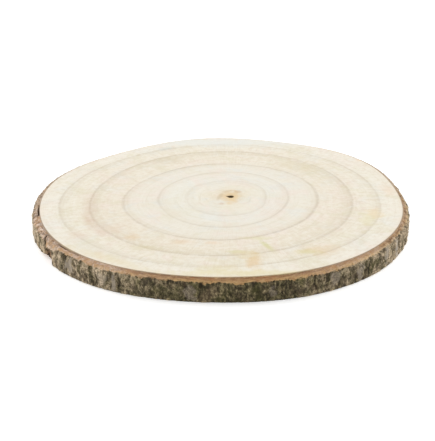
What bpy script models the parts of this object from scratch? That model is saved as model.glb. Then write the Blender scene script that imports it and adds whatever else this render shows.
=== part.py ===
"""A round slice of a tree trunk, sawn square across the grain, with its bark still on.

One grown piece: sawn wood inside a ring of bark, with a hollow pith near the middle.
Metres, Z up. The slice lies on its lower sawn face, centred over the origin.
"""

import math

import bmesh
import bpy
from mathutils import Vector, noise

# The sawn disc
WOOD_RADIUS = 0.1838  # mean radius of the wood inside the bark
THICKNESS = 0.0223
STEPS = 288  # facets round the slice
TRUNK_CENTRE = Vector((0.0020, -0.0027, 0.0))  # puts the middle of the uneven outline on the origin

# The grown outline: (how many lobes, how far they stand out, direction of one in degrees)
LOBES = (
    (2, 0.00266, 53.0),
    (3, 0.00178, -46.0),
    (4, 0.00096, 44.0),
    (5, 0.00108, 26.0),
    (6, 0.00125, -18.0),
    (7, 0.00060, -8.0),
)

# Where it swells or sinks a little besides: (direction and half width in degrees, height)
SWELLS = (
    (32.0, 27.0, 0.0016),
    (132.0, 22.0, -0.0010),
    (-42.0, 15.0, 0.0008),
    (-90.0, 20.0, 0.0013),
)

# The bark: (name, outwards from the wood, height) of each edge, top to bottom
BARK_WIDTH = 0.0070
BARK_PROFILE = (
    ("wood edge", 0.0, THICKNESS),
    ("inner bark", 0.0022, THICKNESS - 0.0009),
    ("inner bark", 0.0042, THICKNESS - 0.0020),
    ("outer bark", 0.0061, THICKNESS - 0.0032),
    ("outer bark", 0.0068, THICKNESS - 0.0043),
    ("outer bark", BARK_WIDTH, 0.0145),
    ("outer bark", BARK_WIDTH, 0.0108),
    ("outer bark", BARK_WIDTH, 0.0071),
    ("outer bark", 0.0069, 0.0034),
    ("outer bark", 0.0064, 0.0010),
    ("outer bark", 0.0052, 0.0),
    ("inner bark", 0.0, 0.0),
)
RELIEF = 0.0011  # how far a plate of bark stands out
PLATE_WIDTH = 0.016
PLATE_HEIGHT = 0.030
RELIEF_SEED = 7.3

# The broken place in the bark: its lower edge is chipped away and a crack runs up it
CHIP_FROM = math.radians(-159.0)
CHIP_TO = math.radians(-144.5)
CHIP_RISE = 0.0054
CRACK_ANGLE = math.radians(-149.8)
CRACK_DEPTH = 0.0058
CRACK_MOUTH = 0.0022
CRACK_ROOT = 0.0008

# The hollow pith, and how far a cutter reaches past the faces it cuts
PITH_CENTRE = Vector((0.0098, 0.0021))
PITH_RADII = Vector((0.0043, 0.0034))
PITH_SIDES = 20
REACH = 0.004

SHARP_ANGLE = math.radians(28.0)


def clear_scene():
    for obj in list(bpy.data.objects):
        bpy.data.objects.remove(obj)


def new_collection(name):
    collection = bpy.data.collections.new(name)
    bpy.context.scene.collection.children.link(collection)
    return collection


def principled(name, colour, roughness):
    material = bpy.data.materials.new(name)
    material.use_nodes = True
    shader = material.node_tree.nodes["Principled BSDF"]
    shader.inputs["Base Color"].default_value = (*colour, 1.0)
    shader.inputs["Roughness"].default_value = roughness
    material.diffuse_color = (*colour, 1.0)
    return material


def outline(angle):
    """Radius of the wood at this angle, from the trunk's centre."""
    radius = WOOD_RADIUS
    for lobes, height, direction in LOBES:
        radius += height * math.cos(lobes * (angle - math.radians(direction)))
    for direction, half_width, height in SWELLS:
        away = math.remainder(math.degrees(angle) - direction, 360.0)
        radius += height * math.exp(-((away / half_width) ** 2))
    return radius


def smooth_step(value):
    value = min(max(value, 0.0), 1.0)
    return value * value * (3.0 - 2.0 * value)


def relief(angle, height):
    """How far the bark stands out or in here, as plates that run up the trunk."""
    ring = outline(angle)
    place = Vector((math.cos(angle) * ring, math.sin(angle) * ring, 0.0)) / PLATE_WIDTH
    place.z = height / PLATE_HEIGHT + RELIEF_SEED
    broad = noise.noise(place)
    fine = noise.noise(place * 2.3)
    return RELIEF * (0.8 * broad + 0.5 * fine - 0.35)


def chip(angle):
    """How much of the lower edge is broken away: it deepens to a sharp end at CHIP_TO."""
    if not CHIP_FROM < angle < CHIP_TO:
        return 0.0
    return ((angle - CHIP_FROM) / (CHIP_TO - CHIP_FROM)) ** 0.7


def bark_share(outwards):
    """0 on the wood's edge, 1 on the outside of the bark."""
    return smooth_step(outwards / BARK_WIDTH)


def turn_profile():
    """The bark's section turned round the trunk's axis, as one mesh."""
    profile = bpy.data.meshes.new("bark section")
    points = [(WOOD_RADIUS + out, 0.0, height) for _, out, height in BARK_PROFILE]
    profile.from_pydata(points, [(i, i + 1) for i in range(len(points) - 1)], [])
    turned = bpy.data.objects.new("bark section", profile)
    bpy.context.scene.collection.objects.link(turned)
    screw = turned.modifiers.new("turn", "SCREW")
    screw.angle = math.tau
    screw.steps = STEPS
    screw.render_steps = STEPS
    screw.use_merge_vertices = True
    screw.merge_threshold = 0.0001
    graph = bpy.context.evaluated_depsgraph_get()
    mesh = bpy.data.meshes.new_from_object(turned.evaluated_get(graph))
    bpy.data.objects.remove(turned)
    return mesh


def grow(bm):
    """Moves each turned point out or in to the grown outline and the bark's relief."""
    for vertex in bm.verts:
        angle = math.atan2(vertex.co.y, vertex.co.x)
        outwards = math.hypot(vertex.co.x, vertex.co.y) - WOOD_RADIUS
        height = vertex.co.z
        share = bark_share(outwards)
        low = smooth_step(1.0 - height / (0.5 * THICKNESS))
        ring = outline(angle) + outwards + share * relief(angle, height)
        if outwards > 0.5 * BARK_WIDTH and height < 0.5 * THICKNESS:
            height += CHIP_RISE * chip(angle) * low
        around = Vector((math.cos(angle) * ring, math.sin(angle) * ring, height))
        vertex.co = TRUNK_CENTRE + around


def paint(bm):
    """Wood on the two sawn faces, brown inner bark on the sloping ring, bark outside."""
    shoulder = THICKNESS - 0.0040
    for face in bm.faces:
        middle = face.calc_center_median()
        if len(face.verts) > 4:
            face.material_index = 0
        elif middle.z > shoulder or middle.z < 0.0002:
            face.material_index = 1
        else:
            face.material_index = 2


def make_slice(collection):
    mesh = turn_profile()
    mesh.name = "wood_slice"
    bm = bmesh.new()
    bm.from_mesh(mesh)
    grow(bm)
    rims = [edge for edge in bm.edges if edge.is_boundary]
    bmesh.ops.holes_fill(bm, edges=rims, sides=0)
    bm.normal_update()
    bmesh.ops.recalc_face_normals(bm, faces=bm.faces)
    paint(bm)
    bm.to_mesh(mesh)
    bm.free()
    wood_slice = bpy.data.objects.new("wood_slice", mesh)
    collection.objects.link(wood_slice)
    mesh.materials.append(principled("sawn wood", (0.74, 0.64, 0.49), 0.75))
    mesh.materials.append(principled("inner bark", (0.30, 0.17, 0.08), 0.85))
    mesh.materials.append(principled("outer bark", (0.10, 0.085, 0.05), 0.95))
    return wood_slice


def add_cutter(name, bm, collection):
    bm.normal_update()
    bmesh.ops.recalc_face_normals(bm, faces=bm.faces)
    mesh = bpy.data.meshes.new(name)
    bm.to_mesh(mesh)
    bm.free()
    cutter = bpy.data.objects.new(name, mesh)
    cutter.hide_render = True
    cutter.display_type = "WIRE"
    collection.objects.link(cutter)
    return cutter


def pith_cutter(collection):
    """The hollow pith: an oval hole, a little narrower at the lower face."""
    bm = bmesh.new()
    bmesh.ops.create_cone(
        bm,
        cap_ends=True,
        segments=PITH_SIDES,
        radius1=0.85,
        radius2=1.0,
        depth=THICKNESS + 2.0 * REACH,
    )
    for vertex in bm.verts:
        angle = math.atan2(vertex.co.y, vertex.co.x)
        wobble = 1.0 + 0.08 * math.sin(3.0 * angle + 0.6) + 0.05 * math.cos(5.0 * angle)
        vertex.co.x = PITH_CENTRE.x + vertex.co.x * PITH_RADII.x * wobble
        vertex.co.y = PITH_CENTRE.y + vertex.co.y * PITH_RADII.y * wobble
        vertex.co.z += 0.5 * THICKNESS
    return add_cutter("cutter hollow pith", bm, collection)


def crack_cutter(collection):
    """A wedge that opens outwards, standing across the bark at the broken place."""
    outside = outline(CRACK_ANGLE) + BARK_WIDTH
    inner, outer = outside - CRACK_DEPTH, outside + REACH
    bm = bmesh.new()
    bmesh.ops.create_cube(bm, size=2.0)
    along = Vector((math.cos(CRACK_ANGLE), math.sin(CRACK_ANGLE), 0.0))
    across = Vector((-along.y, along.x, 0.0))
    for vertex in bm.verts:
        out = outer if vertex.co.x > 0.0 else inner
        half_width = 0.5 * (CRACK_MOUTH if vertex.co.x > 0.0 else CRACK_ROOT)
        lean = 0.0012 * vertex.co.z
        place = TRUNK_CENTRE + along * out + across * (vertex.co.y * half_width + lean)
        place.z = 0.5 * THICKNESS + vertex.co.z * (0.5 * THICKNESS + REACH)
        vertex.co = place
    return add_cutter("cutter bark crack", bm, collection)


def cut(target, cutter):
    modifier = target.modifiers.new(cutter.name, "BOOLEAN")
    modifier.operation = "DIFFERENCE"
    modifier.solver = "EXACT"
    modifier.object = cutter


def main():
    clear_scene()
    parts = new_collection("wood_slice")
    cutters = new_collection("cutters")
    cutters.hide_render = True
    wood_slice = make_slice(parts)
    cut(wood_slice, pith_cutter(cutters))
    cut(wood_slice, crack_cutter(cutters))
    wood_slice.data.shade_smooth()
    wood_slice.data.set_sharp_from_angle(angle=SHARP_ANGLE)


main()
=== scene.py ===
"""The looks of a round wood slice: the sawn disc, its ring of bark, and a pale studio round them."""

import math

import bpy
import numpy as np
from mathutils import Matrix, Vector


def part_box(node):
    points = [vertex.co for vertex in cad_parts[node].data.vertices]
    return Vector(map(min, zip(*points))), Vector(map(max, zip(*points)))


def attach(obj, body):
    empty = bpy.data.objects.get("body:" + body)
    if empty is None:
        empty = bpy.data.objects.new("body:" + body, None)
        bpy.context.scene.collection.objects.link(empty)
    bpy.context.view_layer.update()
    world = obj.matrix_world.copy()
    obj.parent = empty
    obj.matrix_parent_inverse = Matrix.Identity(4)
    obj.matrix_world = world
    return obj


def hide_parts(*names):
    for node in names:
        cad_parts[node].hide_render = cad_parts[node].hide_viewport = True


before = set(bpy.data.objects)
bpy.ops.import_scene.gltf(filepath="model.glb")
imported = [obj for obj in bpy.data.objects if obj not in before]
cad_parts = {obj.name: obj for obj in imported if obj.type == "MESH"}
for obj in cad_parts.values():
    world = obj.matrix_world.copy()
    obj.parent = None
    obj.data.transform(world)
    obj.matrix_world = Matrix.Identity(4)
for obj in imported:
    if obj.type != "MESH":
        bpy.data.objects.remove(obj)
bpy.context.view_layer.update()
low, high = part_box("wood_slice")
THICKNESS = high[2] - low[2]

# ---------------------------------------------------------------- the slice's plan, in metres
WOOD_RADIUS = 0.1838
TRUNK_CENTRE = np.array([0.0020, -0.0027])
PITH_CENTRE = np.array([0.0091, 0.0025])
# The stains and the camera are placed from the middle of the face, in shares of about the wood's radius
FACE_CENTRE = (0.0019, -0.0026)
FACE_UNIT = 0.184
# (how many lobes, how far they stand out, direction of one in degrees)
LOBES = (
    (2, 0.00266, 53.0),
    (3, 0.00178, -46.0),
    (4, 0.00096, 44.0),
    (5, 0.00108, 26.0),
    (6, 0.00125, -18.0),
    (7, 0.00060, -8.0),
)
# Where the trunk swells or sinks a little besides: direction, half width in degrees, height
SWELLS = (
    (32.0, 27.0, 0.0016),
    (132.0, 22.0, -0.0010),
    (-42.0, 15.0, 0.0008),
    (-90.0, 20.0, 0.0013),
)
# The hollow pith: its least radius, its wide lobe, its narrow tail, and how ragged it is
HOLE_RADIUS, HOLE_LOBE, HOLE_TAIL, HOLE_ROUGH = 0.0015, 0.0028, 0.0018, 0.00025
# Each growth ring as seen from the pith: mean radius, then its lobes
RINGS = (
    (0.0446, ((1, 0.00528, -124.0), (2, 0.00353, 84.0), (3, 0.00103, 35.0), (4, 0.00028, -43.0))),
    (0.0700, ((1, 0.00776, -142.0), (2, 0.00480, 75.0), (3, 0.00077, 30.0), (4, 0.00046, -6.0))),
    (0.0995, ((1, 0.01111, -136.0), (2, 0.00370, 60.0), (4, 0.00042, 13.0), (5, 0.00042, -32.0))),
    (0.1362, ((1, 0.00964, -145.0), (2, 0.00445, 73.0), (3, 0.00068, -23.0), (4, 0.00048, 43.0))),
    (0.1620, ((1, 0.01073, -144.0), (2, 0.00258, 57.0), (3, 0.00160, -34.0), (5, 0.00050, 30.0))),
)


def lobed(radius, lobes, angle):
    """A circle with lobes: a wavy radius in each direction."""
    total = np.full_like(angle, radius)
    for count, height, direction in lobes:
        total += height * np.cos(count * (angle - math.radians(direction)))
    return total


def trunk_edge(angle):
    """Distance from the trunk's centre to the wood's edge."""
    total = lobed(WOOD_RADIUS, LOBES, angle)
    for direction, half, height in SWELLS:
        away = (np.degrees(angle) - direction + 180.0) % 360.0 - 180.0
        total += height * np.exp(-((away / half) ** 2))
    return total


def lattice(u, v, columns, rows, seed):
    """A smooth random field from -1 to 1. It closes on itself as u goes from 0 to 1."""
    table = np.random.default_rng(seed).uniform(-1.0, 1.0, (rows + 4, columns))
    x, y = u * columns, np.clip(v, 0.0, 1.0) * rows
    i, j = np.floor(x).astype(int), np.floor(y).astype(int)
    fx, fy = x - i, y - j
    fx, fy = fx * fx * (3.0 - 2.0 * fx), fy * fy * (3.0 - 2.0 * fy)
    left, right = i % columns, (i + 1) % columns
    lower = table[j, left] * (1.0 - fx) + table[j, right] * fx
    upper = table[j + 1, left] * (1.0 - fx) + table[j + 1, right] * fx
    return lower * (1.0 - fy) + upper * fy


def fractal(u, v, columns, rows, seed, octaves=3, gain=0.55):
    """Lattices added up, each twice as fine as the last and weaker by the gain, from -1 to 1."""
    total, size, norm = 0.0, 1.0, 0.0
    for octave in range(octaves):
        total = total + size * lattice(u, v, columns << octave, max(rows, 1) << octave, seed + octave)
        norm += size
        size *= gain
    return total / norm


def smooth(low_edge, high_edge, value):
    """Rises from 0 at the first edge to 1 at the second, or falls if the second is lower."""
    t = np.clip((value - low_edge) / (high_edge - low_edge), 0.0, 1.0)
    return t * t * (3.0 - 2.0 * t)


# ---------------------------------------------------------------- meshes from closed grids
def closed_grid(name, points, attributes):
    """A ring of columns by a closed loop of rows, as one closed body."""
    rows, columns = points.shape[:2]
    index = np.arange(rows * columns).reshape(rows, columns)
    down = np.roll(index, -1, axis=0)
    faces = np.stack(
        [index, np.roll(index, -1, axis=1), np.roll(down, -1, axis=1), down], axis=-1
    ).reshape(-1, 4)
    mesh = bpy.data.meshes.new(name)
    mesh.from_pydata(points.reshape(-1, 3).tolist(), [], faces.tolist())
    for key, values in attributes.items():
        layer = mesh.attributes.new(key, "FLOAT", "POINT")
        layer.data.foreach_set("value", np.ascontiguousarray(values, np.float32).ravel())
    mesh.shade_smooth()
    obj = bpy.data.objects.new(name, mesh)
    bpy.context.scene.collection.objects.link(obj)
    return obj


def face_outwards(obj):
    """Turns every face round if the closed body came out inside out."""
    mesh = obj.data
    corners = np.empty(len(mesh.vertices) * 3)
    mesh.vertices.foreach_get("co", corners)
    corners = corners.reshape(-1, 3)
    mesh.calc_loop_triangles()
    triangles = np.empty(len(mesh.loop_triangles) * 3, np.int32)
    mesh.loop_triangles.foreach_get("vertices", triangles)
    a, b, c = (corners[triangles.reshape(-1, 3)[:, k]] for k in range(3))
    if np.einsum("ij,ij->i", a, np.cross(b, c)).sum() < 0.0:
        mesh.flip_normals()


# ---------------------------------------------------------------- the flat maps that keep the finish
def corner_places(mesh, rows, columns):
    """Each face corner's vertex, its face's row and column, and its own, counted on past the join."""
    vertex = np.empty(len(mesh.loops), np.int32)
    mesh.loops.foreach_get("vertex_index", vertex)
    face_row, face_column = np.divmod(np.repeat(np.arange(rows * columns), 4), columns)
    row, column = np.divmod(vertex, columns)
    row = np.where(row < face_row, rows, row)
    column = np.where(column < face_column, columns, column)
    return vertex, face_row, face_column, row, column


def in_strips(face_column, column, share, columns, count, box):
    """A band round the trunk as strips, one above the other, in a box (left, bottom, right, top)."""
    left, bottom, right, top = box
    strip = face_column * count // columns
    along = column * count / columns - strip
    u = left + (right - left) * along
    v = bottom + (top - bottom) * (strip + 0.04 + 0.92 * share) / count
    return np.stack([u, v], axis=-1)


def set_map(mesh, places):
    """The flat map named OFBake, that a finish can be drawn on."""
    layer = mesh.uv_layers.new(name="OFBake")
    layer.data.foreach_set("uv", places.astype(np.float32).ravel())


# ---------------------------------------------------------------- the outline seen from the pith
def wood_edge_from_pith(angle):
    """Distance from the pith to the wood's edge in each direction."""
    reach = np.full_like(angle, WOOD_RADIUS)
    for _ in range(30):
        x = PITH_CENTRE[0] + reach * np.cos(angle) - TRUNK_CENTRE[0]
        y = PITH_CENTRE[1] + reach * np.sin(angle) - TRUNK_CENTRE[1]
        reach = reach + trunk_edge(np.arctan2(y, x)) - np.hypot(x, y)
    return reach


def hole_edge(angle):
    """The hollow pith: a wide lobe on the right and a narrow tail on the left."""
    degrees = np.degrees(angle) % 360.0
    right = HOLE_LOBE * np.exp(-((((degrees + 180.0) % 360.0 - 160.0) / 85.0) ** 2))
    left = HOLE_TAIL * np.exp(-(((degrees - 172.0) / 20.0) ** 2))
    turn = angle / math.tau % 1.0
    return HOLE_RADIUS + right + left + HOLE_ROUGH * fractal(turn, 0.0 * turn, 22, 1, 71)


def ring_radii(angle):
    """Radius of the hole's edge, each growth ring, and the wood's edge, from the pith."""
    found = [hole_edge(angle)]
    found += [lobed(mean, lobes, angle) for mean, lobes in RINGS]
    found.append(wood_edge_from_pith(angle))
    return np.array(found)


# ---------------------------------------------------------------- the sawn disc
WOOD_COLUMNS = 840
# Steps across each growth ring, closer together where its dark line is
RING_STEPS = (0.0, 0.03, 0.10, 0.22, 0.36, 0.50, 0.64, 0.78, 0.88, 0.94, 0.975)
EDGE_EASE = 0.00035  # the sawn edges behind the bark are eased by this much
HOLE_EASE = 0.0006  # and the hole's wall stops this far from both faces
FACE_DROP = 0.00012  # the upper face lies this far under the highest point, which its ridges reach
RING_RIDGE = 0.00007  # the dark wood of a ring stands up by this much
FACE_WAVE = 0.00005
HOLE_NARROWING, HOLE_WALL_ROUGH = 0.0004, 0.0005  # the hole narrows below its mouth, unevenly
MOUTH_SINK, MOUTH_REACH = 0.0011, 0.035  # the face sinks at the hole, and how soon it is level, in rings
SIDE_SHARES = (0.8, 0.5, 0.2)  # heights of the side's rows, as shares of the thickness
# Where each part of the disc lies on its map: (across, up, radius) of a face, or a box for a side
UPPER_FACE_MAP, LOWER_FACE_MAP = (0.44, 0.44, 0.43), (0.855, 0.855, 0.135)
SIDE_MAP, HOLE_MAP = (0.88, 0.01, 0.99, 0.14), (0.01, 0.87, 0.12, 0.99)
SIDE_STRIPS = 8


def wood_rows(angle):
    """Every row of the disc as (growth, height, moved inwards), and where the upper face and side start."""
    turn = angle / math.tau
    rings = len(RINGS) + 1
    growth = [k + step for k in range(rings) for step in RING_STEPS] + [rings - 0.012]
    rows = []
    for share in (0.0, 0.2, 0.4, 0.6, 0.8):
        inward = HOLE_NARROWING + HOLE_WALL_ROUGH * fractal(turn, 0.0 * turn + share, 40, 5, 311)
        rows.append((0.0, HOLE_EASE + share * (THICKNESS - 2.0 * HOLE_EASE), inward))
    face_start = len(rows)
    for value in growth:
        ridge = RING_RIDGE * smooth(0.80, 0.96, np.array(value % 1.0)) if value > 0.9 else 0.0
        sunk = -MOUTH_SINK * math.exp(-value / MOUTH_REACH)
        wave = FACE_WAVE * fractal(turn, 0.0 * turn + value / rings, 60, 12, 17)
        rows.append((value, THICKNESS - FACE_DROP + ridge + sunk + wave, 0.0))
    side_start = len(rows)
    rows.append((float(rings), THICKNESS - EDGE_EASE, 0.0))
    rows += [(float(rings), share * THICKNESS, 0.0) for share in SIDE_SHARES]
    rows.append((float(rings), EDGE_EASE, 0.0))
    # the lower face is flat, so every second row is enough
    rows += [(value, 0.0, 0.0) for value in growth[::-1][::2]]
    return rows, face_start, side_start


def map_wood(mesh, points, face_start, side_start):
    """Both faces lie flat on the map, and the sides are unrolled in its corners."""
    rows, columns = points.shape[:2]
    vertex, face_row, face_column, row, column = corner_places(mesh, rows, columns)
    flat = (points.reshape(-1, 3)[vertex, :2] - TRUNK_CENTRE) / (1.04 * WOOD_RADIUS)
    side_rows = len(SIDE_SHARES) + 1
    share = (row - side_start) / side_rows
    side = in_strips(face_column, column, share.clip(0.0, 1.0), columns, SIDE_STRIPS, SIDE_MAP)
    hole = in_strips(face_column, column, row / face_start, columns, 1, HOLE_MAP)
    upper = flat * UPPER_FACE_MAP[2] + UPPER_FACE_MAP[:2]
    lower = flat * LOWER_FACE_MAP[2] + LOWER_FACE_MAP[:2]
    places = np.where((face_row < side_start + side_rows)[:, None], side, lower)
    places = np.where((face_row < side_start)[:, None], upper, places)
    places = np.where((face_row < face_start)[:, None], hole, places)
    set_map(mesh, places)


def make_wood():
    angle = np.linspace(0.0, math.tau, WOOD_COLUMNS, endpoint=False)
    radii = ring_radii(angle)
    rows, face_start, side_start = wood_rows(angle)
    points, growth = [], []
    for value, height, inward in rows:
        ring = min(int(value), len(radii) - 2)
        share = value - ring
        radius = radii[ring] * (1.0 - share) + radii[ring + 1] * share - inward
        x = PITH_CENTRE[0] + radius * np.cos(angle)
        y = PITH_CENTRE[1] + radius * np.sin(angle)
        points.append(np.stack([x, y, height + 0.0 * angle], axis=-1))
        growth.append(np.full_like(angle, value))
    points = np.array(points)
    obj = closed_grid("sawn_wood", points, {"growth": np.array(growth)})
    face_outwards(obj)
    map_wood(obj.data, points, face_start, side_start)
    return obj


# ---------------------------------------------------------------- the bark
BARK_COLUMNS = 2400
# (outwards from the wood, height, share of the bark across, points to the next)
BARK_SECTION = (
    (-0.0008, THICKNESS - 0.0012, 0.00, 1),
    (-0.0002, THICKNESS - 0.0005, 0.02, 1),
    (0.0003, THICKNESS - 0.0005, 0.04, 6),
    (0.0038, THICKNESS - 0.0019, 0.50, 5),
    (0.0060, THICKNESS - 0.0033, 0.85, 2),
    (0.0067, THICKNESS - 0.0042, 1.00, 2),
    (0.0069, THICKNESS - 0.0056, 1.10, 14),
    (0.0069, 0.0022, 1.90, 2),
    (0.0067, 0.0007, 2.00, 1),
    (0.0060, 0.00005, 2.15, 2),
    (0.0036, 0.0, 2.40, 2),
    (0.0002, 0.0, 2.90, 1),
    (-0.0008, 0.0008, 3.00, 1),
)
# The lip, where the slope ends and the wall starts
LIP_FROM_WOOD, LIP_HEIGHT = BARK_SECTION[5][:2]
# The broken place: the chip in the lower edge, the crack up through the bark, and the torn bark by it
CHIP_FROM, CHIP_TO, CHIP_RISE, CHIP_DEPTH = -159.0, -144.5, 0.0054, 0.0009
CRACK_ANGLE, CRACK_DEPTH, CRACK_SINK = -149.8, 0.0040, 0.0022
CROSS_CRACK_ANGLE, CROSS_CRACK_SINK = -166.2, 0.0008
TORN_ANGLE, TORN_DEPTH = -146.9, 0.0012
# Relief of the bark, in metres
ROUGH_RELIEF, MEAN_ROUGH = 0.00125, 0.45
FURROW_DEPTH = 0.0008
LIP_OUT, LIP_UP, LIP_ROUGH = 0.0005, 0.00130, 0.00050
LAYER_RELIEF, SPLIT_DEPTH = 0.00014, 0.00050
FIBRE_DAMP, FIBRE_DRY = 0.00030, 0.00070
SEAM_DEPTH, SEAM_DEPTH_LEFT, GAP_DEPTH_LEFT = 0.0004, 0.0010, 0.0034
# Gaps down the bark: angle, half width in degrees, depth, from and to as shares of the height
GAPS = (
    (-95.6, 0.70, 0.0014, 0.62, 0.95),
    (-118.2, 0.22, 0.0009, 0.05, 0.80),
    (-133.0, 0.20, 0.0009, 0.10, 0.70),
    (-64.8, 0.30, 0.0011, 0.30, 0.95),
    (-28.6, 0.40, 0.0017, 0.05, 0.80),
    (-12.0, 0.35, 0.0015, 0.10, 0.90),
    (21.0, 0.35, 0.0017, 0.00, 0.90),
    (58.0, 0.40, 0.0017, 0.10, 0.95),
    (97.0, 0.35, 0.0015, 0.00, 0.85),
    (131.0, 0.45, 0.0018, 0.20, 0.95),
    (163.0, 0.35, 0.0016, 0.05, 0.95),
)
# Smooth grey scales of bark: angle, height share, half widths in degrees and shares, strength
SCALES = (
    (-98.4, 0.42, 1.7, 0.36, 0.75),
    (-119.6, 0.45, 0.6, 0.45, 0.80),
    (-123.6, 0.50, 1.6, 0.30, 0.45),
    (-135.2, 0.50, 1.8, 0.36, 0.70),
    (-58.5, 0.55, 2.0, 0.28, 0.55),
    (-49.6, 0.45, 1.6, 0.34, 0.60),
    (-37.8, 0.55, 1.0, 0.32, 0.70),
    (-31.0, 0.50, 1.1, 0.60, 0.85),
    (-76.6, 0.34, 1.2, 0.30, 0.65),
    (-161.0, 0.45, 2.4, 0.40, 0.50),
    (12.0, 0.50, 2.0, 0.40, 0.6),
    (44.0, 0.45, 2.6, 0.45, 0.6),
    (76.0, 0.50, 1.8, 0.40, 0.7),
    (118.0, 0.50, 2.4, 0.42, 0.6),
    (149.0, 0.50, 2.0, 0.40, 0.7),
)
# How dry and pale the bark is round the trunk: damp and olive in front, dry at both sides. Part of the
# paleness at the sides is painted light, where more light falls on the bark
DRYNESS_AND_PAINTED_LIGHT = (
    (-180.0, 0.84), (-168.0, 0.82), (-156.0, 0.68), (-148.0, 0.50), (-136.0, 0.36),
    (-124.0, 0.38), (-112.0, 0.11), (-100.0, 0.00), (-76.0, -0.02), (-64.0, 0.10),
    (-52.0, 0.22), (-40.0, 0.38), (-28.0, 0.68), (-10.0, 0.60), (20.0, 0.32),
    (60.0, 0.12), (100.0, 0.16), (140.0, 0.34), (180.0, 0.84),
)
# Share of the bark's full width, round the trunk
WIDTHS = (
    (-180.0, 0.95), (-166.0, 1.08), (-150.0, 1.12), (-135.0, 1.14), (-120.0, 1.06), (-105.0, 0.90),
    (-90.0, 0.82), (-72.0, 0.92), (-40.0, 1.00), (-20.0, 0.93), (0.0, 0.80), (25.0, 0.82),
    (50.0, 0.84), (90.0, 0.95), (130.0, 0.90), (150.0, 0.80), (168.0, 0.84), (180.0, 0.90),
)
# How much higher up the slope the dark outer bark starts, in mm. Under 0, the inner bark comes further down
LIP_SHIFTS = (
    (-180.0, 0.8), (-160.0, 0.4), (-150.6, 0.3), (-148.4, -3.4), (-144.6, -3.0), (-141.0, 0.9),
    (-134.0, 1.6), (-122.0, 0.9), (-104.0, 1.3), (-92.0, 0.5), (-66.0, 0.5), (-50.0, 1.0),
    (-28.0, 1.9), (-10.0, 1.7), (6.0, 0.6), (30.0, 0.0), (180.0, 0.8),
)
BARK_MAP, BARK_STRIPS = (0.01, 0.0, 0.99, 1.0), 6


def bark_section():
    """The bark's section as a closed loop of (outwards, height, across)."""
    loop = []
    corners = list(BARK_SECTION) + [BARK_SECTION[0]]
    for (o0, z0, a0, steps), (o1, z1, a1, _) in zip(corners, corners[1:]):
        a1 = max(a0, a1)
        for k in range(steps):
            t = k / steps
            loop.append((o0 + (o1 - o0) * t, z0 + (z1 - z0) * t, a0 + (a1 - a0) * t))
    return np.array(loop)


def round_trunk(table, degrees):
    """Reads a table of (angle, value) at each angle."""
    return np.interp(degrees, *np.array(table).T)


def angle_window(degrees, start, end, soft_start, soft_end):
    """1 between two angles, falling off softly past both."""
    return smooth(start - soft_start, start + 0.01, degrees) * (1.0 - smooth(end, end + soft_end, degrees))


def crest(field, sharpness=1.0):
    """Turns a smooth field into narrow crests with broad dips, from 0 to 1."""
    return np.clip(1.0 - np.abs(field) * 1.6, 0.0, 1.0) ** sharpness


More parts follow.
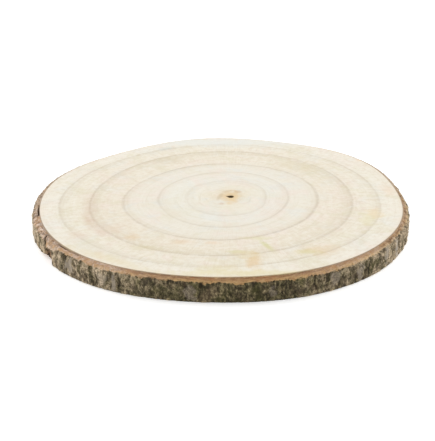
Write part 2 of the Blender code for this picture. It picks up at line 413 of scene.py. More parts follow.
class BarkShape:
    """The bark's grid: rows follow its section, columns go round the trunk, and each method shapes it."""

    def __init__(self):
        self.section = bark_section()
        self.out, self.height, across = (self.section[:, k][:, None] for k in range(3))
        self.angle = np.linspace(-math.pi, math.pi, BARK_COLUMNS, endpoint=False)[None, :]
        self.degrees = np.degrees(self.angle)
        turn = (self.angle / math.tau) % 1.0
        self.v = self.height / THICKNESS + 0.0 * turn
        self.u = turn + 0.0 * self.v
        self.a = across + 0.0 * turn
        # the ridges wander up the trunk along this bent u, so that they are never straight
        self.bent = self.u + 0.0026 * fractal(self.u, self.v, 60, 2, 5)
        self.bent = self.bent + 0.0010 * fractal(self.u, self.v, 240, 6, 9)
        self.wall = smooth(0.72, 1.02, self.a) * (1.0 - smooth(2.0, 2.3, self.a))
        self.slope = smooth(0.02, 0.12, self.a) * (1.0 - smooth(0.85, 1.05, self.a))
        self.lip_zone = smooth(0.60, 0.98, self.a)
        self.dryness_and_painted_light = round_trunk(DRYNESS_AND_PAINTED_LIGHT, self.degrees) + 0.0 * self.a
        self.lip = fractal(self.u, 0.3 + 0.0 * self.v, 96, 1, 97, 5, 0.66)

    def along(self, place):
        """A fixed place across the bark, for a field that only changes round the trunk."""
        return place + 0.0 * self.v

    def roughen(self):
        """The outer bark: ridges, ribs and knobs, smooth grey scales, and open gaps."""
        self.scale = 0.0 * self.u
        ragged = 1.3 * fractal(self.u, self.v, 260, 6, 29, 3)
        for centre, middle, half, half_height, strength in SCALES:
            spot = ((self.degrees - centre) / half) ** 2 + ((self.v - middle) / half_height) ** 2 + ragged
            self.scale = np.maximum(self.scale, strength * smooth(1.15, 0.45, spot))

        plates = fractal(self.bent, self.v * 0.8, 120, 1, 51, 3)
        ridge = crest(lattice(self.bent, self.v, 300, 3, 21), 1.2)
        rib = crest(lattice(self.bent + 0.013, self.v, 560, 6, 31), 1.0)
        self.knob = lattice(self.bent, self.v, 430, 10, 41)
        grain = lattice(self.u, self.v, 900, 14, 61)
        rough = 0.50 * ridge + 0.38 * rib + 0.22 * self.knob + 0.16 * grain + 0.18 * plates
        self.rough = rough * (1.0 - 0.70 * self.scale) + 0.46 * self.scale
        self.gap = self.open_gaps()

    def open_gaps(self):
        """Depth of the gaps: a few old furrows between the plates, and those listed above."""
        furrow = lattice(self.bent + 0.4, self.v * 0.8, 110, 2, 23)
        gap = np.exp(-((furrow / 0.07) ** 2)) * smooth(0.0, 0.7, lattice(self.u, self.v, 60, 3, 25))
        gap = gap * FURROW_DEPTH
        for centre, half, depth, start, end in GAPS:
            line = centre + 0.5 * fractal(0.0 * self.u + centre / 360.0 % 1.0, self.v, 5, 4, 27, 2)
            reach = smooth(start - 0.12, start + 0.12, self.v) * (1.0 - smooth(end, end + 0.15, self.v))
            gap = np.maximum(gap, depth * np.exp(-(((self.degrees - line) / half) ** 2)) * reach)
        return gap * smooth(0.55, 0.95, self.a)

    def raise_bark(self):
        """The fibrous slope in thin layers that follow the edge, and the broken lip of the outer bark."""
        layers = np.sin(math.tau * (self.a * 6.0 + 0.9 * fractal(self.u, self.along(0.5), 30, 1, 91, 3)))
        self.fibre = fractal(self.u, self.a / 3.0, 520, 24, 95, 3)
        fibre_depth = FIBRE_DAMP + FIBRE_DRY * self.dryness_and_painted_light
        split = crest(fractal(self.u, self.a / 3.0, 210, 6, 93, 2), 5.0)
        self.split = split * smooth(0.34, 0.52, self.dryness_and_painted_light)
        width = round_trunk(WIDTHS, self.degrees) + 0.06 * fractal(self.u, self.along(0.6), 20, 1, 99, 3)

        relief = ROUGH_RELIEF * (self.rough - MEAN_ROUGH) - self.gap
        self.outwards = self.out * np.where(self.out > 0.0, width, 1.0) + self.wall * relief
        lip_out = smooth(0.5, 0.95, self.a) * (1.0 - smooth(1.2, 1.6, self.a))
        self.outwards = self.outwards + LIP_OUT * self.lip * lip_out
        raised = LAYER_RELIEF * layers + fibre_depth * self.fibre - SPLIT_DEPTH * self.split
        self.up = self.height + self.slope * raised
        self.up = self.up + LIP_UP * self.lip * self.lip_zone * (1.0 - smooth(1.12, 1.45, self.a))
        lip_rough = self.lip_zone * (1.0 - smooth(1.05, 1.2, self.a))
        self.up = self.up + LIP_ROUGH * (self.rough - MEAN_ROUGH) * lip_rough

    def open_seam(self):
        """The seam against the wood opens here and there, widest on the left, and is painted dark where it
        opens, as painted shade.
        """
        seam = smooth(0.15, 0.75, fractal(self.u, self.along(0.1), 46, 1, 101, 3))
        gap_left = angle_window(self.degrees % 360.0, 188.5, 193.8, 4.0, 0.8)
        seam_left = angle_window(self.degrees, -158.0, -138.0, 4.0, 6.0)
        near_wood = smooth(-0.01, 0.03, self.a) * (1.0 - smooth(0.10, 0.24, self.a))
        depth = SEAM_DEPTH * seam + SEAM_DEPTH_LEFT * seam_left + GAP_DEPTH_LEFT * gap_left
        self.up = self.up - depth * near_wood
        # how dark the open seam is painted: painted shade inside the gap
        dark = 0.35 * seam + 0.45 * seam * seam_left + 0.15 * seam_left + 1.2 * gap_left
        self.seam = near_wood * np.clip(dark, 0.0, 1.0)

    def break_edge(self):
        """The broken place: the lower edge is chipped away, and a crack runs up through the bark."""
        lower_half = np.where(self.a > 1.05, 1.0 - smooth(2.5, 2.9, self.a), 0.0)
        chip = np.clip((self.degrees - CHIP_FROM) / (CHIP_TO - CHIP_FROM), 0.0, 1.0) ** 0.7
        chip = chip * (1.0 - smooth(CHIP_TO, CHIP_TO + 0.5, self.degrees))
        chip = chip * (1.0 + 0.20 * fractal(self.u, self.along(0.2), 260, 1, 111, 3))
        lifted = np.clip(1.0 - self.height / (0.55 * THICKNESS), 0.0, 1.0) * lower_half
        self.up = self.up + CHIP_RISE * chip * lifted
        self.outwards = self.outwards - CHIP_DEPTH * chip * self.wall

        lean = CRACK_ANGLE - 1.2 + 1.5 * smooth(0.1, 1.0, self.a)
        lean = lean + 2.6 * smooth(0.75, 0.0, self.v) * self.wall
        lean = lean + 0.25 * fractal(0.0 * self.u + 0.5, self.v, 3, 4, 121, 2)
        half = 0.26 + 0.44 * smooth(0.3, 0.9, self.a)
        crack = np.exp(-(((self.degrees - lean) / half) ** 2)) * (1.0 - smooth(2.3, 2.6, self.a))
        away = self.degrees - CROSS_CRACK_ANGLE + 0.6 * self.lip
        cross = np.exp(-((away / 0.34) ** 2)) * (1.0 - smooth(1.1, 1.3, self.a))
        self.outwards = self.outwards - CRACK_DEPTH * crack * smooth(0.5, 1.0, self.a)
        sunk = (CRACK_SINK * crack + CROSS_CRACK_SINK * cross) * (1.0 - smooth(0.8, 1.1, self.a))
        self.up = self.up - sunk
        # the open gaps and cracks are painted dark: painted shade inside them
        self.painted_gap_shade = np.clip(self.gap / 0.0013 + 1.5 * crack + 0.9 * cross, 0.0, 1.0)

        self.torn = np.exp(-(((self.degrees - TORN_ANGLE) / 2.0) ** 4))
        self.torn = self.torn * smooth(0.68, 0.46, self.v) * self.wall
        self.outwards = self.outwards - TORN_DEPTH * self.torn * (0.6 + self.knob)

    def below_lip(self):
        """How far each point lies below the outer bark's lip, in mm: the colours meet at 0."""
        on_slope = (self.out - LIP_FROM_WOOD) * 0.9
        below = np.where(self.a <= 1.0, on_slope, LIP_HEIGHT - self.height) * 1000.0
        below = below + round_trunk(LIP_SHIFTS, self.degrees) + 1.3 * self.lip
        return below + 0.5 * self.fibre - 0.9 * (self.rough - MEAN_ROUGH)

    def points(self):
        # nothing rises over the sawn face or sinks under the face it rests on
        up = np.clip(self.up, 0.0, THICKNESS - 0.0002)
        radius = trunk_edge(self.angle) + self.outwards
        x = TRUNK_CENTRE[0] + radius * np.cos(self.angle)
        y = TRUNK_CENTRE[1] + radius * np.sin(self.angle)
        return np.stack([x, y, up], axis=-1)

    def row_shares(self):
        """Each row's place on the map, by its way along the section. The last row meets the first."""
        steps = np.hypot(np.diff(self.section[:, 0]), np.diff(self.section[:, 1]))
        share = np.concatenate([[0.0], np.cumsum(steps)])
        return np.append(share, share[-1] * 1.03) / (share[-1] * 1.03)


def make_bark():
    shape = BarkShape()
    shape.roughen()
    shape.raise_bark()
    shape.open_seam()
    shape.break_edge()
    points = shape.points()
    obj = closed_grid(
        "bark",
        points,
        {
            "across": shape.a,
            "below": shape.below_lip(),
            "rough": np.clip(shape.rough, 0.0, 1.2),
            "painted_gap_shade": shape.painted_gap_shade,
            "scale": shape.scale,
            "torn": shape.torn,
            "split": shape.split * shape.slope,
            "seam": shape.seam,
            "around": shape.degrees + 0.0 * shape.a,
            "dryness_and_painted_light": shape.dryness_and_painted_light,
        },
    )
    face_outwards(obj)
    rows, columns = points.shape[:2]
    _, _, face_column, row, column = corner_places(obj.data, rows, columns)
    share = shape.row_shares()[row]
    set_map(obj.data, in_strips(face_column, column, share, columns, BARK_STRIPS, BARK_MAP))
    return obj


# ---------------------------------------------------------------- node helpers
class Nodes:
    """A shorthand for building one material's nodes."""

    def __init__(self, name):
        self.material = bpy.data.materials.new(name)
        self.material.use_nodes = True
        self.tree = self.material.node_tree
        self.shader = self.tree.nodes["Principled BSDF"]
        self.column = 0

    def new(self, kind, **settings):
        node = self.tree.nodes.new(kind)
        self.column += 1
        node.location = (-200 * (self.column % 12) - 300, -220 * (self.column // 12))
        for key, value in settings.items():
            setattr(node, key, value)
        return node

    def feed(self, socket, value):
        if isinstance(value, bpy.types.NodeSocket):
            self.tree.links.new(value, socket)
        else:
            socket.default_value = value

    def attribute(self, name):
        return self.new("ShaderNodeAttribute", attribute_name=name).outputs["Fac"]

    def position(self):
        return self.new("ShaderNodeTexCoord").outputs["Object"]

    def math(self, operation, a, b=0.0, clamp=False):
        node = self.new("ShaderNodeMath", operation=operation, use_clamp=clamp)
        self.feed(node.inputs[0], a)
        self.feed(node.inputs[1], b)
        return node.outputs[0]

    def times(self, a, b, clamp=False):
        return self.math("MULTIPLY", a, b, clamp)

    def plus(self, a, b):
        return self.math("ADD", a, b)

    def centred(self, value, amount):
        """A noise, moved so that it swings round 0, times an amount."""
        return self.times(self.math("SUBTRACT", value, 0.5), amount)

    def moved(self, place, offset):
        return self.vector("ADD", place, offset)

    def vector(self, operation, a, b=(0.0, 0.0, 0.0), scale=None):
        node = self.new("ShaderNodeVectorMath", operation=operation)
        self.feed(node.inputs[0], a)
        self.feed(node.inputs[1], b)
        if scale is not None:
            self.feed(node.inputs["Scale"], scale)
        return node.outputs["Value" if operation in ("LENGTH", "DOT_PRODUCT") else "Vector"]

    def noise(self, vector, scale, detail=3.0, roughness=0.55, distortion=0.0):
        node = self.new("ShaderNodeTexNoise")
        self.feed(node.inputs["Vector"], vector)
        node.inputs["Scale"].default_value = scale
        node.inputs["Detail"].default_value = detail
        node.inputs["Roughness"].default_value = roughness
        node.inputs["Distortion"].default_value = distortion
        return node.outputs["Fac"]

    def remap(self, value, low_in, high_in, low_out=0.0, high_out=1.0):
        node = self.new("ShaderNodeMapRange", interpolation_type="SMOOTHSTEP")
        self.feed(node.inputs["Value"], value)
        limits = {"From Min": low_in, "From Max": high_in, "To Min": low_out, "To Max": high_out}
        for key, number in limits.items():
            node.inputs[key].default_value = number
        return node.outputs["Result"]

    def ramp(self, value, stops):
        node = self.new("ShaderNodeValToRGB")
        self.feed(node.inputs["Fac"], value)
        elements = node.color_ramp.elements
        while len(elements) < len(stops):
            elements.new(0.5)
        for element, (place, colour) in zip(elements, stops):
            element.position = place
            element.color = (*colour, 1.0)
        return node.outputs["Color"]

    def mix(self, factor, a, b):
        """Mixes two colours. Their sockets share names with other types, so they go by number."""
        node = self.new("ShaderNodeMix", data_type="RGBA", clamp_factor=True)
        self.feed(node.inputs[0], factor)
        self.feed(node.inputs[6], a)
        self.feed(node.inputs[7], b)
        return node.outputs[2]

    def combine(self, x, y, z):
        node = self.new("ShaderNodeCombineXYZ")
        for socket, value in zip(node.inputs, (x, y, z)):
            self.feed(socket, value)
        return node.outputs[0]

    def finish(self, colour, roughness, specular, height, strength, distance):
        """Wires up the shader: its colour, its gloss, and a bump of the given height field."""
        bump = self.new("ShaderNodeBump")
        self.feed(bump.inputs["Height"], height)
        bump.inputs["Strength"].default_value = strength
        bump.inputs["Distance"].default_value = distance
        self.feed(self.shader.inputs["Base Color"], colour)
        self.shader.inputs["Roughness"].default_value = roughness
        self.shader.inputs["Specular IOR Level"].default_value = specular
        self.feed(self.shader.inputs["Normal"], bump.outputs["Normal"])
        return self.material


def linear(red, green, blue):
    """An sRGB colour, 0 to 255, as the scene-linear colour a shader takes."""
    shares = (red / 255.0, green / 255.0, blue / 255.0)
    return tuple(c / 12.92 if c <= 0.04045 else ((c + 0.055) / 1.055) ** 2.4 for c in shares)


def rgba(*srgb):
    return (*linear(*srgb), 1.0)


# ---------------------------------------------------------------- the wood's finish
# Tone by growth ring: 0 at the pith, a whole number at each ring's line, 6 at the bark
TONES = (
    (0.00, (226, 202, 172)),
    (0.15, (234, 218, 193)),
    (0.38, (237, 228, 208)),
    (0.70, (238, 232, 216)),
    (1.40, (237, 234, 222)),
    (1.85, (239, 233, 219)),
    (2.25, (237, 231, 216)),
    (2.75, (238, 232, 217)),
    (3.05, (238, 229, 211)),
    (3.45, (237, 228, 209)),
    (3.85, (235, 226, 206)),
    (4.15, (238, 229, 211)),
    (4.60, (239, 232, 214)),
    (5.10, (238, 232, 216)),
    (5.40, (241, 235, 220)),
    (5.80, (240, 233, 217)),
    (6.00, (240, 228, 208)),
)
# Stains, in shares of the wood's radius from the face's middle: place, half sizes, turn, colour, strength
STAINS = (
    ((0.152, -0.820), (0.045, 0.100), -4.0, (228, 186, 120), 0.44),
    ((0.123, -0.735), (0.075, 0.050), 10.0, (226, 208, 152), 0.35),
    ((0.222, -0.640), (0.022, 0.085), 27.0, (206, 208, 130), 0.45),
    ((0.177, -0.545), (0.080, 0.026), 0.0, (216, 214, 150), 0.35),
    ((0.072, -0.708), (0.060, 0.024), 0.0, (216, 210, 146), 0.35),
    ((0.763, -0.300), (0.050, 0.100), 0.0, (226, 218, 160), 0.30),
    ((0.812, -0.215), (0.045, 0.085), 0.0, (242, 212, 150), 0.34),
    ((0.480, -0.690), (0.120, 0.070), 14.0, (228, 196, 150), 0.38),
    ((0.424, -0.712), (0.070, 0.035), 0.0, (214, 206, 138), 0.42),
    ((-0.200, -0.593), (0.060, 0.032), 0.0, (236, 196, 162), 0.28),
    ((-0.047, -0.602), (0.040, 0.024), 0.0, (236, 194, 150), 0.28),
    ((-0.456, -0.527), (0.045, 0.050), 0.0, (226, 190, 138), 0.30),
    ((-0.398, -0.660), (0.100, 0.035), -8.0, (214, 204, 160), 0.35),
    ((-0.568, -0.430), (0.110, 0.080), -30.0, (228, 198, 178), 0.22),
    ((-0.737, -0.513), (0.075, 0.050), -30.0, (232, 204, 188), 0.30),
    ((-0.332, 0.601), (0.110, 0.060), 8.0, (206, 196, 164), 0.34),
    ((-0.357, 0.804), (0.060, 0.032), 10.0, (194, 204, 202), 0.34),
    ((0.000, 0.930), (0.800, 0.090), 0.0, (233, 234, 228), 0.70),
    ((-0.620, -0.680), (0.300, 0.060), -42.0, (228, 220, 200), 0.35),
    ((-0.714, -0.150), (0.040, 0.260), 5.0, (214, 186, 164), 0.30),
    ((-0.655, -0.400), (0.040, 0.150), 28.0, (208, 176, 150), 0.24),
    ((0.928, 0.130), (0.050, 0.090), 8.0, (240, 200, 160), 0.26),
    ((0.828, 0.607), (0.040, 0.030), 0.0, (240, 200, 156), 0.26),
    ((-0.011, -0.890), (0.120, 0.035), 0.0, (230, 216, 158), 0.26),
    ((0.120, -0.950), (0.420, 0.045), 0.0, (226, 212, 150), 0.42),
    ((-0.560, -0.790), (0.300, 0.045), -34.0, (230, 212, 160), 0.30),
    ((0.458, 0.476), (0.190, 0.120), -40.0, (218, 206, 172), 0.34),
    ((0.045, 0.010), (0.054, 0.100), 0.0, (232, 205, 158), 0.85),
    ((-0.016, 0.010), (0.014, 0.055), -14.0, (192, 172, 138), 0.42),
    ((-0.006, -0.085), (0.022, 0.020), 20.0, (210, 178, 152), 0.45),
    ((0.030, 0.095), (0.040, 0.018), 30.0, (204, 178, 138), 0.40),
    ((0.085, 0.085), (0.024, 0.022), -20.0, (204, 168, 118), 0.45),
)
STAIN_DEPTH = 0.004  # they stay close under the upper face
# Cloudy patches: offset of the noise, its scale, colour, and how strong in young and in older wood
CLOUDS = (
    ((0.0, 0.0, 0.0), 26.0, (240, 224, 212), 0.45, 0.45),
    ((3.1, 1.7, 0.4), 30.0, (229, 222, 196), 0.35, 0.60),
    ((7.3, 2.9, 1.1), 24.0, (229, 231, 226), 0.50, 0.30),
)
# How strong each ring's line is, by growth
LINE_STRENGTHS = ((0.96, 0.14), (1.98, 0.20), (3.0, 0.28), (3.96, 0.23), (4.98, 0.19))
GROWTHS = float(len(RINGS) + 1)


def tint(n, base, factor, colour):
    return n.mix(factor, base, rgba(*colour))


def broad_tone(n, place, growth, older):
    """Tone by growth ring, under cloudy patches: pinkish, olive and cool."""
    base = n.ramp(n.math("DIVIDE", growth, GROWTHS), [(g / GROWTHS, linear(*c)) for g, c in TONES])
    for offset, size, colour, young_amount, older_amount in CLOUDS:
        field = n.noise(n.moved(place, offset), size, 5.0, 0.62, 1.2)
        amount = n.plus(young_amount, n.times(older, older_amount - young_amount))
        base = tint(n, base, n.times(n.remap(field, 0.48, 0.66), amount), colour)
    return base


def ring_lines(n, base, place, growth, share):
    """Each ring darkens towards its outer line, then starts pale again."""
    line = n.math("MAXIMUM", n.remap(share, 0.90, 0.985), n.remap(share, 0.0, 0.06, 1.0, 0.0))
    inside = n.times(n.remap(growth, 0.70, 0.85), n.remap(growth, 5.5, 5.7, 1.0, 0.0))
    fading = n.remap(n.noise(n.moved(place, (2.0, 9.0, 4.0)), 16.0, 3.0), 0.32, 0.62, 0.45, 1.0)
    stops = [(g / GROWTHS, (amount,) * 3) for g, amount in LINE_STRENGTHS]
    strength = n.ramp(n.math("DIVIDE", growth, GROWTHS), stops)
    base = tint(n, base, n.times(n.times(n.times(line, inside), fading), strength), (158, 136, 112))
    late = n.times(n.remap(share, 0.55, 0.99), n.times(inside, strength))
    late = n.times(late, n.remap(growth, 3.0, 3.6, 0.6, 1.0))
    return tint(n, base, late, (202, 188, 160))


def thin_lines(n, base, growth, wobbled, direction):
    """Thin lines that follow the rings, strongest near the pith."""
    turned = n.vector("SCALE", direction, scale=1.1)
    along = n.moved(turned, n.combine(0.0, 0.0, n.times(wobbled, 11.0)))
    thin = n.noise(along, 1.0, 4.0, 0.7)
    amount = n.remap(growth, 0.3, 2.2, 0.30, 0.18)
    base = tint(n, base, n.times(n.remap(thin, 0.52, 0.66), amount), (214, 202, 178))
    return tint(n, base, n.times(n.remap(thin, 0.36, 0.48, 1.0, 0.0), 0.30), (244, 239, 228))


def rays_and_flecks(n, base, place, growth, older, rays):
    """Rays fan out from the pith, and small flecks lie between them."""
    amount = n.times(n.remap(growth, 1.0, 3.6, 0.08, 0.20), n.remap(growth, 5.0, 5.4, 1.0, 0.5))
    base = tint(n, base, n.times(n.remap(rays, 0.50, 0.66), amount), (208, 194, 168))
    base = tint(n, base, n.times(n.remap(rays, 0.34, 0.48, 1.0, 0.0), amount), (250, 247, 238))
    flecks = n.noise(n.moved(place, (5.0, 8.0, 2.0)), 190.0, 5.0, 0.75)
    amount = n.plus(0.12, n.times(older, 0.17))
    base = tint(n, base, n.times(n.remap(flecks, 0.50, 0.62), amount), (221, 204, 180))
    return tint(n, base, n.times(n.remap(flecks, 0.38, 0.49, 1.0, 0.0), amount), (249, 244, 234))


def stains(n, base, place):
    """Soft stains on the upper face, with ragged edges."""
    ragged = n.centred(n.noise(place, 90.0, 5.0, 0.70), 2.2)
    for (x, y), (half_x, half_y), turned_by, colour, amount in STAINS:
        mapping = n.new("ShaderNodeMapping", vector_type="TEXTURE")
        n.feed(mapping.inputs["Vector"], place)
        centre = (FACE_CENTRE[0] + x * FACE_UNIT, FACE_CENTRE[1] + y * FACE_UNIT, THICKNESS)
        mapping.inputs["Location"].default_value = centre
        mapping.inputs["Rotation"].default_value = (0.0, 0.0, math.radians(turned_by))
        mapping.inputs["Scale"].default_value = (half_x * FACE_UNIT, half_y * FACE_UNIT, STAIN_DEPTH)
        distance = n.plus(n.vector("LENGTH", mapping.outputs["Vector"]), ragged)
        base = tint(n, base, n.remap(distance, 0.15, 1.30, amount, 0.0), colour)
    return base


def wood_finish():
    n = Nodes("sawn end grain")
    place = n.position()
    growth = n.attribute("growth")
    older = n.remap(growth, 2.6, 3.3)
    wobbled = n.plus(growth, n.centred(n.noise(place, 80.0, 3.0, 0.6), 0.07))
    share = n.math("FRACT", wobbled)
    flat = n.vector("SUBTRACT", place, (PITH_CENTRE[0], PITH_CENTRE[1], 0.0))
    flat = n.vector("MULTIPLY", flat, (1.0, 1.0, 0.0))
    direction = n.vector("NORMALIZE", flat)
    from_pith = n.times(n.vector("LENGTH", flat), 42.0)
    fan = n.vector("SCALE", direction, scale=105.0)
    rays = n.noise(n.moved(fan, n.combine(0.0, 0.0, from_pith)), 1.0, 4.0, 0.75)

    base = broad_tone(n, place, growth, older)
    base = ring_lines(n, base, place, growth, share)
    base = thin_lines(n, base, growth, wobbled, direction)
    base = rays_and_flecks(n, base, place, growth, older, rays)
    # pores dot each ring's early wood
    pores = n.remap(n.noise(place, 620.0, 3.0, 0.7), 0.58, 0.72)
    pores = n.times(pores, n.remap(share, 0.02, 0.75, 1.0, 0.4))
    base = tint(n, base, n.times(pores, 0.30), (200, 183, 155))
    # a thin brown line where the wood ends, the stains, and the dark mouth of the hole, which is partly the
    # pith's own brown and partly painted shade inside the hole
    base = tint(n, base, n.remap(growth, 5.950, 5.980, 0.0, 0.80), (150, 124, 96))
    base = stains(n, base, place)
    base = tint(n, base, n.remap(growth, 0.0, 0.02, 0.97, 0.0), (84, 66, 38))

    saw = n.noise(n.vector("MULTIPLY", place, (40.0, 1000.0, 1.0)), 1.0, 2.0, 0.5)
    height = n.plus(n.times(rays, 0.6), n.times(saw, 0.3))
    height = n.math("SUBTRACT", height, n.times(pores, 0.6))
    return n.finish(base, 0.75, 0.25, height, 0.30, 0.0002)


# ---------------------------------------------------------------- the bark's finish
# In degrees round the trunk: the inner bark turns golden over the first span and back over the second
GOLDEN_FROM, GOLDEN_TO = (-62.0, -30.0), (4.0, 16.0)
# It is weathered to a grey brown at the far left, over this span either way round, and towards the
# back, fully at this distance behind the middle, in metres
WEATHERED_FROM, WEATHERED_BACK = (163.0, 176.0), 0.035


def outer_bark(n, place, streak, speck, dryness_and_painted_light):
    """Dark in the dips, olive on the flanks, dry grey tan on the ridges, with grey scales and gaps. The
    dark dips are partly painted shade and the pale ridges partly painted light.
    """
    # the colour follows the relief: the bark's own colour, with painted shade in the dips and painted light
    # on the ridges
    level = n.plus(n.times(n.attribute("rough"), 0.50), 0.09)
    level = n.plus(level, n.centred(streak, 1.30))
    level = n.plus(level, n.centred(speck, 0.90))
    colour = n.ramp(level, (
        (0.05, linear(38, 33, 20)),
        (0.24, linear(62, 56, 36)),
        (0.42, linear(90, 82, 57)),
        (0.60, linear(126, 114, 82)),
        (0.85, linear(182, 168, 130)),
    ))
    patch = n.noise(place, 75.0, 4.0, 0.65)
    colour = n.mix(n.remap(patch, 0.50, 0.66, 0.0, 0.40), colour, n.mix(0.5, colour, rgba(132, 108, 88)))
    colour = n.mix(n.remap(patch, 0.34, 0.52, 0.75, 0.0), colour, n.mix(0.5, colour, rgba(84, 82, 44)))

    upright = n.vector("MULTIPLY", place, (1.0, 1.0, 0.45))
    dusty = n.noise(n.moved(upright, (5.0, 2.0, 1.0)), 150.0, 5.0, 0.70)
    # pale dust on the ridges, strongest at both sides: partly real dust, partly painted light on the ridges
    # and the sides
    pale = n.times(n.remap(dusty, 0.38, 0.60, 0.15, 2.00), n.remap(level, 0.1, 0.6, 0.35, 1.25))
    pale = n.times(n.plus(dryness_and_painted_light, 0.05), pale, clamp=True)
    dust = n.mix(n.remap(speck, 0.4, 0.6), rgba(172, 151, 124), rgba(212, 192, 162))
    colour = n.mix(pale, colour, dust)

    grey = n.mix(n.remap(speck, 0.35, 0.65), rgba(96, 86, 76), rgba(138, 126, 112))
    # the grey scales turn paler at both sides: partly dry bark, partly painted light
    grey = n.mix(n.times(dryness_and_painted_light, 1.6, clamp=True), grey, rgba(180, 170, 156))
    colour = n.mix(n.times(n.attribute("scale"), 0.80), colour, grey)
    bare = n.mix(n.remap(n.noise(place, 420.0, 3.0), 0.44, 0.58), rgba(66, 44, 28), rgba(150, 108, 74))
    colour = n.mix(n.times(n.attribute("torn"), 0.9), colour, bare)
    # painted shade in the open gaps and cracks
    return tint(n, colour, n.times(n.attribute("painted_gap_shade"), 0.85), (36, 29, 19))


def golden_share(n, around):
    """How golden the inner bark is: only at the right."""
    return n.times(n.remap(around, *GOLDEN_FROM), n.remap(around, *GOLDEN_TO, 0.55, 0.0))


def weathered_share(n, place, around):
    """How weathered the inner bark is: behind the widest place and at the far left."""
    back = n.vector("DOT_PRODUCT", place, (0.0, 1.0, 0.0))
    behind = n.remap(back, 0.0, WEATHERED_BACK, 0.0, 0.80)
    return n.math("MAXIMUM", behind, n.remap(n.math("ABSOLUTE", around), *WEATHERED_FROM, 0.0, 0.60))


def inner_bark(n, place, across, around, bands, dryness_and_painted_light):
    """The slope: brown beside the wood and tan towards the lip, in thin layers, bleached where dry, and
    paler at the sides as painted light.
    """
    fibre = n.noise(n.vector("MULTIPLY", place, (1.0, 1.0, 2.0)), 620.0, 4.0, 0.75)
    layered = n.plus(n.plus(across, n.centred(fibre, 0.55)), n.centred(bands, 0.60))
    colour = n.ramp(layered, (
        (0.00, linear(180, 144, 108)),
        (0.08, linear(140, 104, 74)),
        (0.26, linear(158, 124, 92)),
        (0.46, linear(168, 130, 92)),
        (0.66, linear(180, 145, 104)),
        (0.95, linear(176, 142, 97)),
    ))
    colour = tint(n, colour, n.remap(bands, 0.50, 0.60, 0.0, 0.65), (124, 88, 58))
    colour = tint(n, colour, n.remap(bands, 0.36, 0.49, 0.60, 0.0), (212, 178, 130))
    rust = n.noise(n.moved(place, (1.0, 7.0, 3.0)), 95.0, 4.0, 0.65)
    colour = tint(n, colour, n.remap(rust, 0.50, 0.66, 0.0, 0.32), (178, 120, 76))
    gold = n.remap(n.noise(n.moved(place, (4.0, 3.0, 8.0)), 120.0, 4.0, 0.65), 0.40, 0.56)
    colour = tint(n, colour, n.times(gold, n.remap(across, 0.30, 0.75, 0.0, 0.60)), (200, 164, 110))

    # bleached at both sides: partly dry bark, partly painted light
    bleached = n.times(dryness_and_painted_light, n.remap(fibre, 0.35, 0.6, 0.6, 1.6), clamp=True)
    mottle = n.remap(n.noise(n.moved(place, (6.0, 1.0, 2.0)), 210.0, 4.0, 0.70), 0.42, 0.58)
    colour = n.mix(bleached, colour, n.mix(mottle, rgba(240, 220, 204), rgba(217, 180, 146)))
    # dark flecks on the dry slope: painted shade standing in for the relief of its fibres
    painted_fibre_shade = n.remap(n.noise(place, 300.0, 5.0, 0.75), 0.52, 0.62)
    painted_fibre_shade = n.times(painted_fibre_shade, n.remap(dryness_and_painted_light, 0.3, 0.6))
    colour = tint(n, colour, n.times(painted_fibre_shade, 0.60), (128, 102, 80))

    honey = n.mix(n.remap(layered, 0.30, 0.60), rgba(164, 128, 84), rgba(214, 188, 138))
    colour = n.mix(golden_share(n, around), colour, honey)
    worn = n.mix(n.remap(bands, 0.40, 0.58), rgba(208, 192, 169), rgba(172, 151, 124))
    weathered = n.times(weathered_share(n, place, around), n.remap(fibre, 0.3, 0.6, 0.75, 1.0))
    colour = n.mix(weathered, colour, worn)

    pits = n.remap(n.noise(place, 480.0, 3.0, 0.7), 0.56, 0.68)
    colour = tint(n, colour, n.times(pits, n.remap(across, 0.20, 0.95, 0.15, 0.75)), (92, 70, 48))
    # painted shade in the splits of the slope
    colour = tint(n, colour, n.times(n.attribute("split"), 0.8), (92, 66, 44))
    # painted shade in the open seam beside the wood
    colour = tint(n, colour, n.attribute("seam"), (66, 45, 30))
    # painted shade in the open gaps and cracks
    return tint(n, colour, n.times(n.attribute("painted_gap_shade"), 0.85), (44, 32, 22))


def bark_finish():
    n = Nodes("bark")
    place = n.position()
    across = n.attribute("across")
    around = n.attribute("around")
    dryness_and_painted_light = n.attribute("dryness_and_painted_light")
    streak = n.noise(n.vector("MULTIPLY", place, (1.0, 1.0, 0.45)), 520.0, 4.0, 0.70)
    speck = n.noise(place, 760.0, 3.0, 0.75)
    bands = n.noise(n.combine(n.times(across, 5.0), n.times(around, 0.40), 0.0), 1.0, 5.0, 0.70)
    outer = outer_bark(n, place, streak, speck, dryness_and_painted_light)
    inner = inner_bark(n, place, across, around, bands, dryness_and_painted_light)

    # the two meet along the broken lip, and the sawn lower edge is brown
    fray = n.centred(n.noise(place, 420.0, 4.0, 0.75), 3.6)
    colour = n.mix(n.remap(n.plus(n.attribute("below"), fray), -0.35, 0.35), inner, outer)
    sawn = n.mix(n.remap(bands, 0.40, 0.62), rgba(168, 132, 96), rgba(128, 96, 66))
    colour = n.mix(n.remap(across, 2.12, 2.35), colour, sawn)
    fine = n.plus(n.times(streak, 0.8), n.times(speck, 0.5))
    return n.finish(colour, 0.92, 0.2, fine, 0.8, 0.0008)


# ---------------------------------------------------------------- pieces
wood = make_wood()
wood.data.materials.append(wood_finish())
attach(wood, "root")
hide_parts("wood_slice")

bark = make_bark()
bark.data.materials.append(bark_finish())
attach(bark, "root")
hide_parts("wood_slice")


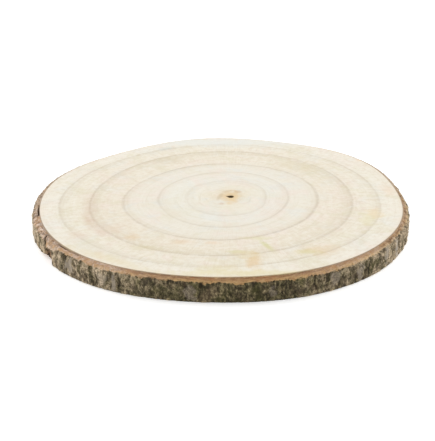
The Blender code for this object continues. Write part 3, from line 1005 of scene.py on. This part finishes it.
# ---------------------------------------------------------------- floor, light and camera
FLOOR_HALF = 6.0
FLOOR_GLOW = 0.38  # the floor glows a little, so that it stays pale up to its far edge
WORLD_LIGHT = 0.74
SOFTBOX_SIZE, SOFTBOX_POWER = 1.2, 12.0
SOFTBOXES = {"softbox left": (-1.6, 0.5, 1.4), "softbox right": (1.6, 0.6, 1.4)}
# The camera looks down on the middle of the face from in front
VIEW_DISTANCE = 6.0 * FACE_UNIT
VIEW_ELEVATION = math.radians(22.0)
CAMERA_YAW, CAMERA_PITCH = math.radians(0.282), math.radians(23.212)
SENSOR_WIDTH, FOCAL_LENGTH = 36.0, 88.79


def make_floor():
    mesh = bpy.data.meshes.new("floor")
    corners = [(x * FLOOR_HALF, y * FLOOR_HALF, 0.0) for x, y in ((-1, -1), (1, -1), (1, 1), (-1, 1))]
    mesh.from_pydata(corners, [], [(0, 1, 2, 3)])
    floor = bpy.data.objects.new("floor", mesh)
    floor.location.z = low[2] - 0.0001
    bpy.context.scene.collection.objects.link(floor)
    n = Nodes("pale floor")
    paper = n.mix(n.noise(n.position(), 3.0), rgba(250, 250, 250), rgba(248, 248, 248))
    n.feed(n.shader.inputs["Base Color"], paper)
    n.shader.inputs["Roughness"].default_value = 0.9
    n.shader.inputs["Specular IOR Level"].default_value = 0.0
    n.shader.inputs["Emission Color"].default_value = (1.0, 1.0, 1.0, 1.0)
    n.shader.inputs["Emission Strength"].default_value = FLOOR_GLOW
    mesh.materials.append(n.material)
    return floor


def add_softbox(name, place):
    light = bpy.data.lights.new(name, "AREA")
    light.shape = "RECTANGLE"
    light.size, light.size_y = SOFTBOX_SIZE, SOFTBOX_SIZE
    light.energy = SOFTBOX_POWER
    obj = bpy.data.objects.new(name, light)
    obj.location = place
    obj.rotation_euler = (-Vector(place)).to_track_quat("-Z", "Y").to_euler()
    bpy.context.scene.collection.objects.link(obj)


def add_world():
    world = bpy.data.worlds.new("studio")
    world.use_nodes = True
    background = world.node_tree.nodes["Background"]
    background.inputs["Color"].default_value = (1.0, 1.0, 1.0, 1.0)
    background.inputs["Strength"].default_value = WORLD_LIGHT
    bpy.context.scene.world = world


def add_camera():
    data = bpy.data.cameras.new("camera")
    data.sensor_width = SENSOR_WIDTH
    data.lens = FOCAL_LENGTH
    camera = bpy.data.objects.new("camera", data)
    camera.location = (
        FACE_CENTRE[0],
        FACE_CENTRE[1] - VIEW_DISTANCE * math.cos(VIEW_ELEVATION),
        THICKNESS + VIEW_DISTANCE * math.sin(VIEW_ELEVATION),
    )
    camera.rotation_euler = (math.pi / 2.0 - CAMERA_PITCH, 0.0, CAMERA_YAW)
    bpy.context.scene.collection.objects.link(camera)
    return camera


make_floor()
add_world()
for softbox, place in SOFTBOXES.items():
    add_softbox(softbox, place)
bpy.context.scene.camera = add_camera()
bpy.context.scene.view_settings.view_transform = "Standard"
